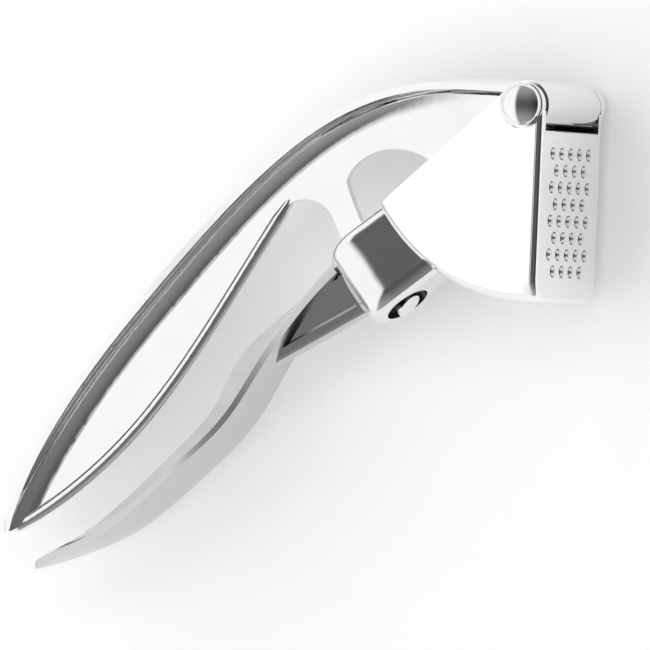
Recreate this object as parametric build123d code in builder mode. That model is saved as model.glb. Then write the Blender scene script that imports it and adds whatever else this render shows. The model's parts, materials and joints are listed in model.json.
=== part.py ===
from build123d import *
import os
from math import cos, radians, sin, tan

# Garlic press with an olive and cherry pitter, lying on its side.
# X points forwards through the sieve, Y up the sieve, Z along the pivot pin.
# The origin is under the middle of the press, on the surface that it lies on.
# Sketch coordinates on PROFILE and PRESSED count from the pivot.

# --- place of the pivot -----------------------------------------------------
PIVOT_X = 67.17
PIVOT_Y = 53.57

# --- pivot pin --------------------------------------------------------------
PIN_R = 3.0
PIN_FIT = 0.05
SEAT_GAP = 0.02
DOME_R = 4.9
DOME_H = 2.7
DOME_SHOULDER = 28
CAP_SOCKET = 1.4
WASHER_R = 5.15
WASHER_T = 1.4

# --- hopper -----------------------------------------------------------------
HOPPER_W = 31.0
CHEEK_T = 2.4
FLOOR_R = 45.5
FLOOR_T = 2.1
APEX_R = 5.3
MOUTH_ANGLE = 40.9
FRONT_X = 3.8
FLOOR_ROUND = 5.5
CORNER_ROUND = 3.0

# --- sieve ------------------------------------------------------------------
SIEVE_T = 1.4
SIEVE_GAP = 0.15
EAR_T = 1.2
SLOT_BOTTOM = 6.0
SLOT_CLEAR = 0.5
SIEVE_LAND = 0.1
HOLE_R = 1.4
HOLE_TAPER = 10
HOLE_PITCH = 4.5
HOLE_ROWS = 8
HOLES_IN_ROW = 5
FIRST_ROW = 11.0
EAR_CLEAR = 0.2

# --- pitter cup -------------------------------------------------------------
CUP_SETBACK = 13.8
CUP_R = 9.4
CUP_BORE_R = 7.3
CUP_HOLE_R = 5.45
CUP_FOOT_ANGLE = 53.0
CUP_LEAN = 50.0
CUP_LENGTH = 20.5
CUP_FLOOR_T = 2.0
CUP_RIM_ROUND = 2.6
CUP_FOOT_ROUND = 3.4
SADDLE_TILT = 13.0

# --- punch ------------------------------------------------------------------
PUNCH_R = 3.15
PUNCH_CLEAR = 1.0
PUNCH_CUP_R = 2.4
PUNCH_CUP_DEPTH = 2.2
FINGER_ROOT = 26.0
WINDOW_FOOT = 20.0
PUNCH_START = 34.0
PUNCH_END = 53.6

# --- handles ----------------------------------------------------------------
WEB_T = 2.1
HEAD_R = 5.7
HEAD_GAP = 0.2
CROWN_R = 48.0
UPPER_EDGE_T = 1.5
UPPER_FILLET = 4.5
UPPER_BEAD_R = 1.6
BEAD_RUN_OUT = 7.0
LOWER_EDGE_T = 1.1
LOWER_FILLET = 2.6
LOWER_WEB_T = 2.6
LOWER_NECK_HALF = 6.6
LOWER_TIP_X = -131.4
UPPER_TIP_X = -140.4
WEB_SET_IN = 0.6
GUSSET_ROOT_T = 13.0
GUSSET_RIM_T = 4.2
GUSSET_H = 10.0
GUSSET_OVERLAP = 2.2
POCKET_DEPTH = 1.6
POCKET_MARGIN = 2.4
POCKET_END = 2.0

# --- plunger ----------------------------------------------------------------
PRESS_ANGLE = 2.5
PLUNGER_T = 3.2
PLUNGER_FACE_GAP = 0.35
PLUNGER_SIDE_GAP = 0.4
PLUNGER_TOP = 8.5

# --- derived places ---------------------------------------------------------
HALF_W = HOPPER_W / 2
CHEEK_IN = HALF_W - CHEEK_T
FLOOR_IN = FLOOR_R - FLOOR_T
CUP_RADIUS = FLOOR_R + CUP_SETBACK
STACK_TOP = HALF_W + SEAT_GAP + WASHER_T
MID_Z = STACK_TOP + SEAT_GAP + DOME_H
SIEVE_BACK = FRONT_X + SIEVE_GAP
SIEVE_ROUND = SIEVE_T - SIEVE_LAND
SIEVE_FRONT = SIEVE_BACK + SIEVE_T
EAR_IN = HALF_W - EAR_T
FINGER_IN = CUP_RADIUS - PUNCH_R
FINGER_OUT = CUP_RADIUS + PUNCH_R
HEAD_HALF = CHEEK_IN - HEAD_GAP
SLOT_W = 2 * (HEAD_HALF + SLOT_CLEAR)
REACH = 150.0

PIVOT = Vector(PIVOT_X, PIVOT_Y, MID_Z)
PIVOT_AXIS = Axis(PIVOT, (0, 0, 1))
PROFILE = Plane(PIVOT)
PLAN = Plane(PIVOT, x_dir=(1, 0, 0), z_dir=(0, -1, 0))
PRESSED = Plane(
    PIVOT,
    x_dir=(cos(radians(PRESS_ANGLE)), -sin(radians(PRESS_ANGLE)), 0),
    z_dir=(0, 0, 1),
)


def around(radius, angle):
    """A point at an angle below the backward direction, seen from the pivot."""
    return (-radius * cos(radians(angle)), -radius * sin(radians(angle)))


def radial_plane(angle):
    """The plane through the pivot axis at that angle: x is outwards, y along the pin."""
    c = cos(radians(angle))
    s = sin(radians(angle))
    return Plane(PIVOT, x_dir=(-c, -s, 0), z_dir=(-s, c, 0))


def inside_line(line, depth, count):
    """Points evenly along a line, set to one side of it, in PROFILE coordinates."""
    steps = [i / (count - 1) for i in range(count)]
    sideways = [(line % t).cross(Vector(0, 0, 1)) * depth for t in steps]
    return [PROFILE.to_local_coords(line @ t + s) for t, s in zip(steps, sideways)]


def crown_drop(half_width):
    """How far a flange's crown falls from its middle to that half width."""
    return CROWN_R - (CROWN_R**2 - half_width**2) ** 0.5


# --- hopper shell: two cheeks and a floor concentric with the pivot -----------
mouth_dir = Vector(*around(1, MOUTH_ANGLE))
mouth_foot = Vector(mouth_dir.Y, -mouth_dir.X) * APEX_R
mouth_end = mouth_foot + mouth_dir * (FLOOR_R**2 - APEX_R**2) ** 0.5
floor_front = Vector(FRONT_X, -((FLOOR_R**2 - FRONT_X**2) ** 0.5))
apex_front = Vector(FRONT_X, -((APEX_R**2 - FRONT_X**2) ** 0.5))

with BuildPart() as hopper_shell:
    with BuildSketch(radial_plane(0)):
        with Locations((FLOOR_R / 2, 0)):
            outer = Rectangle(FLOOR_R, HOPPER_W)
        fillet(outer.vertices().sort_by(Axis.X)[-2:], FLOOR_ROUND)
    revolve(axis=PIVOT_AXIS)
    with BuildSketch(PROFILE.offset(-HALF_W)):
        with BuildLine():
            ThreePointArc(apex_front, (APEX_R * 0.8, APEX_R * 0.6), mouth_foot)
            Line(mouth_foot, mouth_end)
            ThreePointArc(mouth_end, around(FLOOR_R, 65), floor_front)
            Line(floor_front, apex_front)
        make_face()
        fillet(vertices().sort_by(Axis.X)[0], CORNER_ROUND)
    extrude(amount=HOPPER_W, mode=Mode.INTERSECT)
    with BuildSketch(radial_plane(0)):
        with Locations((FLOOR_IN / 2, 0)):
            inner = Rectangle(FLOOR_IN, 2 * CHEEK_IN)
        fillet(inner.vertices().sort_by(Axis.X)[-2:], FLOOR_ROUND - FLOOR_T)
    revolve(axis=PIVOT_AXIS, mode=Mode.SUBTRACT)
    for side in (1, -1):
        with BuildSketch(PROFILE.offset(side * (EAR_IN - EAR_CLEAR / 2))):
            Circle(APEX_R + 2 * EAR_CLEAR)
        extrude(amount=side * CHEEK_T, mode=Mode.SUBTRACT)
    with BuildSketch(PROFILE):
        Circle(PIN_R + SEAT_GAP)
    extrude(amount=HALF_W, both=True, mode=Mode.SUBTRACT)
hopper_shell.part.label = "hopper_shell"

# --- pitter cup: a straight barrel with a saddle that narrows to the hopper floor ---
cup_foot = Vector(*around(CUP_RADIUS, CUP_FOOT_ANGLE))
cup_up = Vector(-cos(radians(CUP_LEAN)), sin(radians(CUP_LEAN)))
cup_in = Vector(sin(radians(CUP_LEAN)), cos(radians(CUP_LEAN)))


def cup_plane(height):
    """The plane across the cup at a height above its foot, with x towards the hopper."""
    return Plane(PIVOT + cup_foot + cup_up * height, x_dir=cup_in, z_dir=cup_up)


with BuildPart() as cup_blank:
    with BuildSketch(cup_plane(0)):
        Circle(CUP_R)
        saddle_x = CUP_R * sin(radians(SADDLE_TILT))
        saddle_y = CUP_R * cos(radians(SADDLE_TILT))
        saddle_end = CUP_SETBACK + CUP_R / 2
        saddle_end_y = saddle_y - (saddle_end - saddle_x) * tan(radians(SADDLE_TILT))
        Polygon(
            (saddle_x, saddle_y),
            (saddle_end, saddle_end_y),
            (saddle_end, -saddle_end_y),
            (saddle_x, -saddle_y),
            align=None,
        )
    extrude(amount=CUP_LENGTH)
    ends = cup_blank.faces().filter_by(lambda f: abs(f.normal_at().dot(cup_up)) > 0.99)
    foot_edges = ends.sort_by(Axis.Y)[0].edges().filter_by(Axis.Z, reverse=True)
    fillet(foot_edges, CUP_FOOT_ROUND)
    ends = cup_blank.faces().filter_by(lambda f: abs(f.normal_at().dot(cup_up)) > 0.99)
    rim_edges = ends.sort_by(Axis.Y)[-1].edges().filter_by(Axis.Z, reverse=True)
    fillet(rim_edges, CUP_RIM_ROUND)
    with BuildSketch(PROFILE):
        Circle(FLOOR_R)
    extrude(amount=HALF_W, both=True, mode=Mode.SUBTRACT)

with BuildPart() as pitter_cup:
    add(cup_blank.part)
    with BuildSketch(cup_plane(CUP_FLOOR_T)):
        Circle(CUP_BORE_R)
    extrude(amount=CUP_LENGTH, mode=Mode.SUBTRACT)
    with BuildSketch(cup_plane(0)):
        Circle(CUP_HOLE_R)
    extrude(amount=CUP_LENGTH, mode=Mode.SUBTRACT)
pitter_cup.part.label = "pitter_cup"

# --- gusset under the lower handle, with a pocket in each side -----------------
rim_foot = Vector(*around(CUP_RADIUS + CUP_R - GUSSET_OVERLAP, 48))
rim_toe = Vector(-68.5, -62.6)
rim_dir = (rim_toe - rim_foot).normalized()
rim_len = (rim_toe - rim_foot).length
rim_start = PIVOT + rim_foot
with BuildPart() as gusset:
    with BuildSketch(Plane(rim_start, x_dir=(0, 0, 1), z_dir=rim_dir)):
        half_rim = GUSSET_RIM_T / 2
        half_root = GUSSET_ROOT_T / 2
        Polygon(
            (-half_rim, 0),
            (half_rim, 0),
            (half_root, GUSSET_H),
            (-half_root, GUSSET_H),
            align=None,
        )
        fillet(vertices().sort_by(Axis.Y)[:2], half_rim * 0.8)
    extrude(amount=rim_len)
    with BuildSketch(Plane(rim_start + rim_dir * POCKET_END, x_dir=(0, 0, 1), z_dir=rim_dir)):
        for side in (1, -1):
            spread = (half_root - half_rim) / GUSSET_H
            near = half_rim + spread * POCKET_MARGIN
            far = half_root
            Polygon(
                (side * (near - POCKET_DEPTH), POCKET_MARGIN),
                (side * (near + POCKET_DEPTH), POCKET_MARGIN),
                (side * (far + POCKET_DEPTH), GUSSET_H),
                (side * (far - POCKET_DEPTH), GUSSET_H),
                align=None,
            )
    extrude(amount=rim_len, mode=Mode.SUBTRACT)
    with BuildSketch(PROFILE):
        Polygon(
            rim_foot,
            rim_toe,
            (-69.0, -61.6),
            (-62.8, -52.4),
            (-53.2, -41.2),
            around(CUP_RADIUS, 42),
            align=None,
        )
    extrude(amount=GUSSET_ROOT_T, both=True, mode=Mode.INTERSECT)

# --- lower handle: a T-section bar that leaves the cup's outer wall ------------
with BuildPart() as lower_handle:
    with BuildLine(PROFILE) as lower_spine:
        Spline(
            (-51, -41),
            (-62, -53),
            (-68.5, -62),
            (-77.3, -76.2),
            (-92.2, -91),
            (-109, -104.3),
            (-121, -109.8),
            (-133, -113.8),
        )
    lower_line = lower_spine.edges()[0]
    with BuildSketch(Plane(lower_line @ 0, x_dir=(0, 0, 1), z_dir=lower_line % 0)):
        with BuildLine():
            drop = crown_drop(CUP_R)
            top = drop + LOWER_EDGE_T
            root = LOWER_WEB_T / 2
            knee = LOWER_FILLET * (1 - cos(radians(45)))
            ThreePointArc((-CUP_R, drop), (0, 0), (CUP_R, drop))
            Line((CUP_R, drop), (CUP_R, top))
            Line((CUP_R, top), (root + LOWER_FILLET, top))
            stem = top + LOWER_FILLET
            for side in (1, -1):
                ThreePointArc(
                    (side * (root + LOWER_FILLET), top),
                    (side * (root + knee), top + knee),
                    (side * root, stem),
                )
            Line((root, stem), (-root, stem))
            Line((-root - LOWER_FILLET, top), (-CUP_R, top))
            Line((-CUP_R, top), (-CUP_R, drop))
        make_face()
    sweep(path=lower_line)
    with BuildSketch(PROFILE):
        with BuildLine():
            keel = Spline(inside_line(lower_line, WEB_SET_IN, 11))
            ridge = Spline(
                (-54, -40),
                (-58, -43.2),
                (-72.5, -55),
                (-79.5, -62.5),
                (-84.5, -72.5),
                (-92, -81.2),
                (-104, -92.6),
                (-118, -104.2),
                (-132, -112.2),
            )
            Line(keel @ 1, ridge @ 1)
            Line(keel @ 0, ridge @ 0)
        make_face()
    extrude(amount=LOWER_WEB_T / 2, both=True)
    with BuildSketch(PLAN):
        with BuildLine():
            for side in (1, -1):
                neck = Line((-40, side * LOWER_NECK_HALF), (-60, side * LOWER_NECK_HALF))
                Spline(
                    neck @ 1,
                    (-68, side * 6.7),
                    (-88, side * 8.7),
                    (-110, side * 7.4),
                    (-124, side * 4.4),
                    (-129.4, side * 2.3),
                    (LOWER_TIP_X, 0),
                    tangents=((-1, 0), (0, -side)),
                )
            Line((-40, LOWER_NECK_HALF), (-40, -LOWER_NECK_HALF))
        make_face()
    extrude(amount=REACH, both=True, mode=Mode.INTERSECT)
    with BuildSketch(PROFILE):
        with BuildLine():
            ThreePointArc((-132.5, -113.6), (-131.2, -111.9), (-128.2, -110.2))
            Line((-128.2, -110.2), (-118, -104.2))
            Line((-118, -104.2), (-118, -98))
            Line((-118, -98), (-136, -98))
            Line((-136, -98), (-132.5, -113.6))
        make_face()
    extrude(amount=CUP_R, both=True, mode=Mode.SUBTRACT)
    add(gusset.part)
    add(cup_blank.part, mode=Mode.SUBTRACT)
    with BuildSketch(radial_plane(0)):
        with Locations((CUP_RADIUS, 0)):
            Circle(PUNCH_R + PUNCH_CLEAR)
    revolve(axis=PIVOT_AXIS, revolution_arc=90, mode=Mode.SUBTRACT)
lower_handle.part.label = "lower_handle"

# the web's lower edge runs straight on into the tip
RIM_POINTS = [(-136.2, -103.2), (-121.5, -93.6), (-105, -78.2), (-93.2, -63.2), (-70.8, -28.8)]

# --- upper handle: one arched casting with its web, pitting finger and head ----
with BuildPart() as upper_handle:
    with BuildLine(PROFILE) as upper_spine:
        Spline(
            (0, HEAD_R),
            (-8, 6.1),
            (-18, 6.1),
            (-31, 4.9),
            (-52, -1.9),
            (-76.4, -19.6),
            (-99.3, -43.8),
            (-118, -66.5),
            (-132.6, -89.0),
            (-141.5, -108),
        )
    upper_line = upper_spine.edges()[0]
    with BuildSketch(Plane(upper_line @ 0, x_dir=(0, 0, 1), z_dir=upper_line % 0)):
        with BuildLine():
            drop = -crown_drop(HEAD_HALF)
            under = drop - UPPER_EDGE_T
            root = WEB_T / 2
            knee = UPPER_FILLET * (1 - cos(radians(45)))
            inner_under = -crown_drop(root + UPPER_FILLET) - UPPER_EDGE_T
            ThreePointArc((-HEAD_HALF, drop), (0, 0), (HEAD_HALF, drop))
            for side in (1, -1):
                Line((side * HEAD_HALF, drop), (side * HEAD_HALF, under))
                Line((side * HEAD_HALF, under), (side * (root + UPPER_FILLET), inner_under))
                ThreePointArc(
                    (side * (root + UPPER_FILLET), inner_under),
                    (side * (root + knee), inner_under - knee),
                    (side * root, inner_under - UPPER_FILLET),
                )
            Line((root, inner_under - UPPER_FILLET), (-root, inner_under - UPPER_FILLET))
        make_face()
    sweep(path=upper_line)
    with BuildSketch(PLAN):
        with BuildLine():
            for side in (1, -1):
                wide = Line((8, side * HEAD_HALF), (-9, side * HEAD_HALF))
                Spline(
                    wide @ 1,
                    (-28, side * 9.8),
                    (-50, side * 7.4),
                    (-85, side * 6.9),
                    (-118, side * 7.1),
                    (-131, side * 5.2),
                    (-138, side * 2.9),
                    (UPPER_TIP_X, 0),
                    tangents=((-1, 0), (0, -side)),
                )
            Line((8, HEAD_HALF), (8, -HEAD_HALF))
        make_face()
    extrude(amount=REACH, both=True, mode=Mode.INTERSECT)
    with BuildSketch(PROFILE):
        with BuildLine():
            ThreePointArc((-141.4, -101.8), (-140.0, -104.4), (-136.6, -104.3))
            Line((-136.6, -104.3), (-126, -97.6))
            Line((-126, -97.6), (-126, -115))
            Line((-126, -115), (-145, -115))
            Line((-145, -115), (-141.4, -101.8))
        make_face()
    extrude(amount=HEAD_HALF, both=True, mode=Mode.SUBTRACT)
    with BuildSketch(PROFILE):
        with BuildLine():
            back = Spline(inside_line(upper_line, -2 * WEB_SET_IN, 13)[:-1])
            Line(back @ 1, RIM_POINTS[0])
            rim = Spline(RIM_POINTS)
            ThreePointArc(rim @ 1, (-63.8, -23.8), around(FINGER_OUT, FINGER_ROOT))
            finger = CenterArc((0, 0), FINGER_OUT, 180 + FINGER_ROOT, PUNCH_START - FINGER_ROOT)
            Line(finger @ 1, around(FINGER_IN, PUNCH_START))
            CenterArc((0, 0), FINGER_IN, 180 + PUNCH_START, WINDOW_FOOT - PUNCH_START)
            window = Spline(
                around(FINGER_IN, WINDOW_FOOT),
                (-47, -12.9),
                (-31.6, -13.2),
                (-17, -23),
                (-6, -36),
                tangents=((0.34, 0.94), (0.5, -1)),
            )
            Line(window @ 1, (3, -36))
            Line((3, -36), (0, 0))
            Line((0, 0), back @ 0)
        make_face()
    extrude(amount=WEB_T / 2, both=True)
    with BuildLine(PROFILE) as bead_line:
        Spline(RIM_POINTS)
    bead_path = bead_line.edges()[0]
    with BuildSketch(Plane(bead_path @ 0, z_dir=bead_path % 0)):
        Circle(UPPER_BEAD_R)
    sweep(path=bead_path)
    with Locations(bead_path @ 0):
        Sphere(UPPER_BEAD_R)
    with Locations(Plane(bead_path @ 1, z_dir=bead_path % 1)):
        Cone(UPPER_BEAD_R, WEB_T / 2 - PIN_FIT, BEAD_RUN_OUT, align=(Align.CENTER, Align.CENTER, Align.MIN))
    with BuildSketch(PROFILE):
        Circle(HEAD_R)
    extrude(amount=HEAD_HALF, both=True)
    with BuildSketch(PRESSED):
        with Locations((SIEVE_BACK - PLUNGER_FACE_GAP - PLUNGER_T, -PLUNGER_TOP)):
            Rectangle(FLOOR_R, FLOOR_R, align=(Align.MIN, Align.MAX))
    extrude(amount=HEAD_HALF, both=True, mode=Mode.SUBTRACT)
    with BuildSketch(PROFILE):
        Circle(PIN_R + PIN_FIT)
    extrude(amount=HEAD_HALF, both=True, mode=Mode.SUBTRACT)
upper_handle.part.label = "upper_handle"

# --- plunger: the plate that meets the sieve when the handles are pressed ------
with BuildPart() as plunger_plate:
    plunger_r = FLOOR_IN - PLUNGER_SIDE_GAP
    plunger_half = CHEEK_IN - PLUNGER_SIDE_GAP
    with BuildSketch(radial_plane(0)):
        with Locations((plunger_r / 2, 0)):
            edge = Rectangle(plunger_r, 2 * plunger_half)
        fillet(edge.vertices().sort_by(Axis.X)[-2:], FLOOR_ROUND - FLOOR_T)
    revolve(axis=PIVOT_AXIS)
    with BuildSketch(PRESSED):
        with Locations((SIEVE_BACK - PLUNGER_FACE_GAP, -PLUNGER_TOP)):
            Rectangle(PLUNGER_T, FLOOR_R, align=(Align.MAX, Align.MAX))
    extrude(amount=HALF_W, both=True, mode=Mode.INTERSECT)
plunger_plate.part.label = "plunger_plate"

# --- pitting punch: a hollow-ended rod bent round the pivot --------------------
with BuildPart() as pitter_punch:
    with BuildSketch(radial_plane(PUNCH_START)):
        with Locations((CUP_RADIUS, 0)):
            Circle(PUNCH_R)
    revolve(axis=PIVOT_AXIS, revolution_arc=PUNCH_END - PUNCH_START)
    with BuildSketch(radial_plane(PUNCH_END)):
        with Locations((CUP_RADIUS, 0)):
            Circle(PUNCH_CUP_R)
    extrude(amount=-PUNCH_CUP_DEPTH, mode=Mode.SUBTRACT)
pitter_punch.part.label = "pitter_punch"

# --- sieve: a perforated front plate that swings out on two ears ---------------
SIEVE_FACE = radial_plane(90).offset(-SIEVE_FRONT)

with BuildPart() as sieve_plate:
    with BuildSketch(SIEVE_FACE):
        with Locations((FLOOR_R / 2, 0)):
            outline = Rectangle(FLOOR_R, HOPPER_W)
        fillet(outline.vertices().sort_by(Axis.X)[-2:], FLOOR_ROUND)
    extrude(amount=SIEVE_T)
    front = sieve_plate.faces().sort_by(Axis.X)[-1]
    fillet(front.edges().filter_by(Axis.Z, reverse=True), SIEVE_ROUND)
    with BuildSketch(SIEVE_FACE):
        Rectangle(2 * SLOT_BOTTOM, SLOT_W)
    extrude(amount=SIEVE_T, mode=Mode.SUBTRACT)
    with BuildSketch(PROFILE):
        Circle(APEX_R + EAR_CLEAR)
    extrude(amount=EAR_IN, both=True, mode=Mode.SUBTRACT)
    for side in (1, -1):
        with BuildSketch(PROFILE.offset(side * EAR_IN)):
            Circle(SIEVE_FRONT)
        extrude(amount=side * EAR_T)
    with BuildSketch(PROFILE):
        Circle(PIN_R + PIN_FIT)
    extrude(amount=HOPPER_W, both=True, mode=Mode.SUBTRACT)
    with BuildSketch(SIEVE_FACE):
        for row in range(HOLE_ROWS):
            with Locations((FIRST_ROW + row * HOLE_PITCH * sin(radians(60)), 0)):
                with GridLocations(1, HOLE_PITCH, 1, HOLES_IN_ROW - row % 2):
                    Circle(HOLE_R)
    extrude(amount=SIEVE_T, taper=HOLE_TAPER, mode=Mode.SUBTRACT)
sieve_plate.part.label = "sieve_plate"


# --- pivot pin with one forged dome, and its cap -------------------------------
def dome_profile(base, up):
    """Half the section of a dome on a base height, standing up (1) or down (-1)."""
    ball = (DOME_R**2 + DOME_H**2) / (2 * DOME_H)
    middle = base + up * (DOME_H - ball)
    shoulder = (ball * sin(radians(DOME_SHOULDER)), middle + up * ball * cos(radians(DOME_SHOULDER)))
    with BuildSketch(radial_plane(0)) as profile:
        with BuildLine():
            Line((0, base), (DOME_R, base))
            ThreePointArc((DOME_R, base), shoulder, (0, base + up * DOME_H))
            Line((0, base + up * DOME_H), (0, base))
        make_face()
    return profile.sketch


DOME_BASE = STACK_TOP + SEAT_GAP

with BuildPart() as pivot_pin:
    with BuildSketch(PROFILE.offset(-DOME_BASE - CAP_SOCKET)):
        Circle(PIN_R)
    extrude(amount=2 * DOME_BASE + CAP_SOCKET)
    revolve(dome_profile(DOME_BASE, 1), axis=PIVOT_AXIS)
pivot_pin.part.label = "pivot_pin"

with BuildPart() as pin_cap:
    revolve(dome_profile(-DOME_BASE, -1), axis=PIVOT_AXIS)
    with BuildSketch(PROFILE.offset(-DOME_BASE)):
        Circle(PIN_R + SEAT_GAP)
    extrude(amount=-CAP_SOCKET - SEAT_GAP, mode=Mode.SUBTRACT)
pin_cap.part.label = "pin_cap"

with BuildPart() as pin_washers:
    for side in (1, -1):
        with BuildSketch(PROFILE.offset(side * (HALF_W + SEAT_GAP))):
            Circle(WASHER_R)
            Circle(PIN_R + SEAT_GAP, mode=Mode.SUBTRACT)
        extrude(amount=side * WASHER_T)
pin_washers.part.label = "pin_washers"

os.makedirs("parts", exist_ok=True)
export_step(hopper_shell.part, "parts/hopper_shell.step")
export_step(pitter_cup.part, "parts/pitter_cup.step")
export_step(lower_handle.part, "parts/lower_handle.step")
export_step(upper_handle.part, "parts/upper_handle.step")
export_step(plunger_plate.part, "parts/plunger_plate.step")
export_step(pitter_punch.part, "parts/pitter_punch.step")
export_step(sieve_plate.part, "parts/sieve_plate.step")
export_step(pivot_pin.part, "parts/pivot_pin.step")
export_step(pin_cap.part, "parts/pin_cap.step")
export_step(pin_washers.part, "parts/pin_washers.step")
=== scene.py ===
# %% [markdown]
# # A polished steel garlic press, lying on its side
# The press comes in as ten solid pieces that already have the right shapes and places:
# two arched handles, a hopper with a sieve that swings out, a pitting cup and punch, and
# the pin that holds it all together. What is left to make is the steel itself, the pale
# table that it lies on, the studio light and the camera.

# %% Load the press
import json
import math

import bpy
from mathutils import Matrix, Vector


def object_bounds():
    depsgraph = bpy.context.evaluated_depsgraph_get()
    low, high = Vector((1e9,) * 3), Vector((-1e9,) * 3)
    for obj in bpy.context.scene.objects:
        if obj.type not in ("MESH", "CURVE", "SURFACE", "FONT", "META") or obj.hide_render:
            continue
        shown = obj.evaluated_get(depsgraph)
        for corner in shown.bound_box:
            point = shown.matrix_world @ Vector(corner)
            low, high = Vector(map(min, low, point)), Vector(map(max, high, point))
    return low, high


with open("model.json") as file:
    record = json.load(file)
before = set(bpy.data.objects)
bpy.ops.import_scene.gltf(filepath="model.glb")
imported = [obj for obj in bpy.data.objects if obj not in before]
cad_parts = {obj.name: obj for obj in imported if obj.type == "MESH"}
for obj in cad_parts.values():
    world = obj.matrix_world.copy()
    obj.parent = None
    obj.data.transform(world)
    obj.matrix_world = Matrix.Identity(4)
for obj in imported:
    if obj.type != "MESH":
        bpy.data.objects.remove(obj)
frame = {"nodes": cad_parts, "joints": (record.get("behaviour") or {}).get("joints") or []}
first_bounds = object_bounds()
print("pieces:", sorted(frame["nodes"]))

# %% [markdown]
# ## A small language for shader sums
# Scratches and wear are built up from noise, so the node trees hold a lot of arithmetic.
# Wrapping a socket in a class with overloaded operators lets a sum be written as a sum,
# and each operator adds its own Math node. Any other node comes from one method.


# %% Shader sums
class Wire:
    """A socket of one material, with arithmetic."""

    def __init__(self, tree, socket):
        self.tree = tree
        self.socket = socket

    def math(self, operation, *inputs, clamp=False):
        node = self.tree.nodes.new("ShaderNodeMath")
        node.operation = operation
        node.use_clamp = clamp
        for slot, value in zip(node.inputs, inputs):
            if isinstance(value, Wire):
                self.tree.links.new(value.socket, slot)
            else:
                slot.default_value = value
        return Wire(self.tree, node.outputs[0])

    def __add__(self, other):
        return self.math("ADD", self, other)

    def __radd__(self, other):
        return self.math("ADD", other, self)

    def __sub__(self, other):
        return self.math("SUBTRACT", self, other)

    def __rsub__(self, other):
        return self.math("SUBTRACT", other, self)

    def __mul__(self, other):
        return self.math("MULTIPLY", self, other)

    def __rmul__(self, other):
        return self.math("MULTIPLY", other, self)

    def above(self, edge, width):
        """0 below the edge, rising to 1 over the width."""
        return self.math("MULTIPLY_ADD", self, 1 / width, -edge / width, clamp=True)


class Finish:
    """One material: its tree, its shader, and a method that adds any node."""

    def __init__(self, name):
        self.material = bpy.data.materials.new(name)
        self.material.use_nodes = True
        self.tree = self.material.node_tree
        self.shader = self.tree.nodes["Principled BSDF"]

    def node(self, kind, settings=None, output=0, **sockets):
        node = self.tree.nodes.new(kind)
        for key, value in (settings or {}).items():
            setattr(node, key, value)
        for key, value in sockets.items():
            slot = node.inputs[key.replace("_", " ")]
            if isinstance(value, Wire):
                self.tree.links.new(value.socket, slot)
            else:
                slot.default_value = value
        return Wire(self.tree, node.outputs[output])

    def place(self, turn=(0, 0, 0), stretch=(1, 1, 1)):
        """Object coordinates, turned and stretched."""
        spot = self.node("ShaderNodeTexCoord", output="Object")
        return self.node("ShaderNodeMapping", Vector=spot, Rotation=turn, Scale=stretch)

    def blend(self, factor, low, high):
        """A colour between two others."""
        return self.node(
            "ShaderNodeMix",
            {"data_type": "RGBA"},
            output=2,
            Factor=factor,
            A=low,
            B=high,
        )

    def drive(self, socket, wire):
        self.tree.links.new(wire.socket, self.shader.inputs[socket])

    def set(self, **values):
        for key, value in values.items():
            self.shader.inputs[key.replace("_", " ")].default_value = value


# %% [markdown]
# ## The steel
# The whole press is one bright stainless steel, cast, ground and then polished. A real
# polish is not a perfect mirror. It has hairlines from the last wheel, soft patches where
# it has been wiped, and a slight unevenness that makes long reflections waver. Hairlines
# are a noise stretched seventy times along one direction. They change the roughness a
# little and tilt the surface a very little through a Bump node, so close up they catch
# the light and from arm's length they only soften it. A picture of scratches could be
# laid on instead, but a noise needs no unwrapping and never repeats.


# %% Bright steel in four finishes, one painted lighter and one painted darker
HAIRLINE_STRETCH = (60, 4200, 4200)
STRAY_STRETCH = (90, 3100, 3100)
STRAY_TURN = 0.5
DULLED = 0.955


def bright_steel(name, tone, smooth, hairline, waver, grain_turn):
    """Stainless steel with polishing hairlines, wiped patches and a slight waver."""
    steel = Finish(name)
    along = steel.place(turn=grain_turn, stretch=HAIRLINE_STRETCH)
    hairs = steel.node("ShaderNodeTexNoise", Vector=along, Scale=1.0, Detail=3.0)
    crossed = (*grain_turn[:2], grain_turn[2] + STRAY_TURN)
    crossing = steel.place(turn=crossed, stretch=STRAY_STRETCH)
    stray = steel.node("ShaderNodeTexNoise", Vector=crossing, Scale=1.0, Detail=2.0)
    broad = steel.place()
    wiped = steel.node("ShaderNodeTexNoise", Vector=broad, Scale=75.0, Detail=3.0)
    swell = steel.node("ShaderNodeTexNoise", Vector=broad, Scale=120.0, Detail=1.0)
    scratches = stray.above(0.66, 0.08)
    patches = wiped.above(0.42, 0.3)
    dull = tuple(DULLED * c for c in tone[:3]) + (1,)
    steel.drive("Base Color", steel.blend(0.35 * patches + 0.3 * scratches, tone, dull))
    roughness = smooth + hairline * hairs + 0.45 * hairline * patches + 0.5 * hairline * scratches
    steel.drive("Roughness", roughness)
    fine = steel.node(
        "ShaderNodeBump",
        Strength=0.05,
        Distance=0.00002,
        Height=hairs + 0.6 * scratches,
    )
    wavy = steel.node("ShaderNodeBump", Strength=waver, Distance=0.0002, Height=swell, Normal=fine)
    steel.drive("Normal", wavy)
    steel.set(Metallic=1.0)
    return steel.material


polished = bright_steel("polished_steel", (0.86, 0.86, 0.87, 1), 0.05, 0.07, 0.2, (0, 0, 0.8))
# The satin tone of 0.6 is painted shade: a darker copy of the steel, so the lower handle and
# plunger plate show grey.
satin_painted_shade = bright_steel("satin_steel", (0.6, 0.6, 0.61, 1), 0.13, 0.14, 0.08, (0, 0, 0.85))
buffed = bright_steel("buffed_steel", (0.84, 0.84, 0.85, 1), 0.07, 0.1, 0.9, (0, 0, 2.2))
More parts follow.
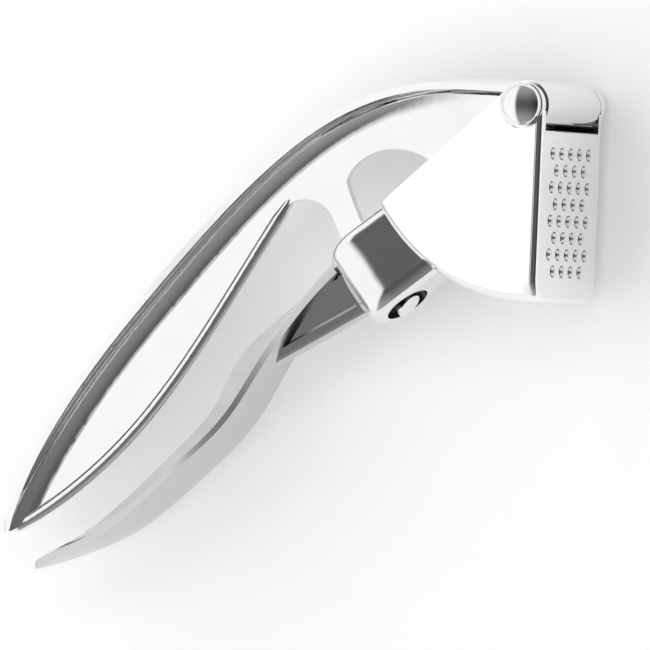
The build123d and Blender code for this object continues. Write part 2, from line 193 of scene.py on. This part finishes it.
# The pressed tone of 0.93 is painted light: a lighter copy of the steel, so the hopper and sieve
# show white.
pressed_painted_light = bright_steel("pressed_painted_light_steel", (0.93, 0.93, 0.94, 1), 0.06, 0.06, 0.0, (0, 0, 1.57))
print("finishes:", [m.name for m in (polished, satin_painted_shade, buffed, pressed_painted_light)])

# %% [markdown]
# ## Which piece gets which steel
# The hopper and the sieve are pressed from flat sheet, so they are the flattest mirrors.
# Their steel is also painted lighter than the rest, as painted light, so the flat faces show
# white.
# The upper handle, the punch and the pin are cast or turned and then polished. The cup is
# buffed by hand round its tight corners, which leaves it the most uneven. The lower
# handle and the plunger plate are the pieces that are handled and scraped most, and keep
# a silkier finish; their steel is also painted much darker, as painted shade, so their
# faces show grey. Each piece takes one material over its whole surface.

# %% Put the steel on the pieces
FINISHES = {
    "upper_handle": polished,
    "pitter_cup": buffed,
    "pitter_punch": polished,
    "pivot_pin": polished,
    "pin_cap": polished,
    "pin_washers": polished,
    "hopper_shell": pressed_painted_light,
    "sieve_plate": pressed_painted_light,
    "lower_handle": satin_painted_shade,
    "plunger_plate": satin_painted_shade,
}
for name, steel in FINISHES.items():
    piece = frame["nodes"][name]
    piece.data.materials.clear()
    piece.data.materials.append(steel)
print("pieces finished:", len(FINISHES))

# %% [markdown]
# ## The table
# Polished steel has almost no colour of its own: what is seen is the room. A plain white
# table keeps the undersides bright. It is only a large flat square, just under the press.

# %% White table
TABLE_SIDE = 6
TABLE_DROP = 0.0002
low, high = first_bounds
bpy.ops.object.select_all(action="DESELECT")
bpy.ops.mesh.primitive_plane_add(size=TABLE_SIDE, location=(0, 0, low.z - TABLE_DROP))
table = bpy.context.active_object
table.name = "table"
paper = Finish("white_paper")
mottle = paper.node("ShaderNodeTexNoise", Vector=paper.place(), Scale=40.0, Detail=2.0)
paper.drive("Base Color", paper.blend(mottle, (0.93, 0.93, 0.93, 1), (0.95, 0.95, 0.95, 1)))
paper.set(Roughness=0.9, Emission_Color=(1, 1, 1, 1), Emission_Strength=0.14)
table.data.materials.append(paper.material)
print("table at", round(low.z, 4))

# %% [markdown]
# ## The light
# Metal needs something dark to reflect, or its edges vanish. The room is white on the
# handles' side and turns almost black over a short step, so flat faces that look up
# mirror the white part, and every rounded edge that turns away from it gets a dark line.
# The dark part is a little lighter high up and at both sides, which keeps a dim shape in
# it. The room is worked out from the direction of view alone, with no picture behind it.

# %% Studio room
WHITE_EDGE = -0.44
EDGE_STEP = 0.2
DARKNESS = 0.97
HIGH_LIFT = 0.06
SIDE_LIFT = 0.3
ROOM_STRENGTH = 1.1
world = bpy.data.worlds.new("studio")
bpy.context.scene.world = world
world.use_nodes = True


class Room(Finish):
    """The world's tree, with the same helpers as a finish."""

    def __init__(self, target):
        self.tree = target.node_tree
        self.shader = self.tree.nodes["Background"]


room = Room(world)
toward = room.node("ShaderNodeTexCoord", output="Generated")
split = room.tree.nodes.new("ShaderNodeSeparateXYZ")
room.tree.links.new(toward.socket, split.inputs[0])
across = Wire(room.tree, split.outputs["X"])
sideways = Wire(room.tree, split.outputs["Y"])
upward = Wire(room.tree, split.outputs["Z"])
wall = across.above(WHITE_EDGE, EDGE_STEP)
lift = upward.above(0.2, 0.6)
grey_wall = wall * (DARKNESS - HIGH_LIFT * lift - SIDE_LIFT * sideways * sideways)
room.drive("Color", room.blend(1.0 - grey_wall, (0.0, 0.0, 0.0, 1), (1.0, 1.0, 1.0, 1)))
room.set(Strength=ROOM_STRENGTH)
print("room turns dark from", WHITE_EDGE, "to", round(WHITE_EDGE + EDGE_STEP, 2))

# %% [markdown]
# ## The lamp
# The room alone leaves the table flat. One broad square lamp above it brightens the table
# and draws a soft shadow round the press. The lamp is hidden from mirror rays, or the
# polished tops would show it as a white square, so the steel reflects only the room, the
# table and itself.


# %% Broad soft lamp
LAMP_OFFSET = Vector((0.2, 0.0, 1.3))
LAMP_SIDE = 1.8
LAMP_POWER = 13.5


def soft_panel(name, place, aim, size, power):
    """A square lamp at a place, facing a point."""
    data = bpy.data.lights.new(name, "AREA")
    data.shape = "SQUARE"
    data.size = size
    data.energy = power
    lamp = bpy.data.objects.new(name, data)
    bpy.context.scene.collection.objects.link(lamp)
    lamp.location = place
    lamp.visible_glossy = False
    lamp.rotation_euler = (Vector(aim) - Vector(place)).to_track_quat("-Z", "Y").to_euler()
    return lamp


middle = (low + high) / 2
overhead = soft_panel("overhead", middle + LAMP_OFFSET, middle, LAMP_SIDE, LAMP_POWER)
print("lamp height:", round(overhead.location.z, 3))

# %% [markdown]
# ## The camera
# A press is usually shown three-quarters from above, with the sieve just in sight. A long
# lens, far away, keeps the far handle from looking shorter than the near one. The camera
# is placed from the pin, which is the one point that every piece is measured from, and is
# tipped by a small roll.

# %% Camera
FIELD = 0.1508
DISTANCE = 4.0
SENSOR = 36
PIN_RIGHT = 0.0528
PIN_ABOVE = 0.0507
pin = frame["joints"][0]["pos_m"]
pivot = Vector(pin)
back = Vector((0.4695, 0, 0.8829))
roll = math.radians(2.5)
flat = Vector((0.8829, 0, -0.4695))
right = flat * math.cos(roll) + Vector((0, math.sin(roll), 0))
up = back.cross(right)
target = pivot - right * PIN_RIGHT - up * PIN_ABOVE
camera_data = bpy.data.cameras.new("camera")
camera_data.sensor_width = SENSOR
camera_data.lens = SENSOR * DISTANCE / FIELD
camera = bpy.data.objects.new("camera", camera_data)
bpy.context.scene.collection.objects.link(camera)
turned = Matrix((right, up, back)).transposed().to_4x4()
camera.matrix_world = Matrix.Translation(target + back * DISTANCE) @ turned
camera_data.clip_start = 0.1
camera_data.clip_end = 20
bpy.context.scene.camera = camera
bpy.context.scene.view_settings.view_transform = "Standard"
print("lens in millimetres:", round(camera_data.lens))
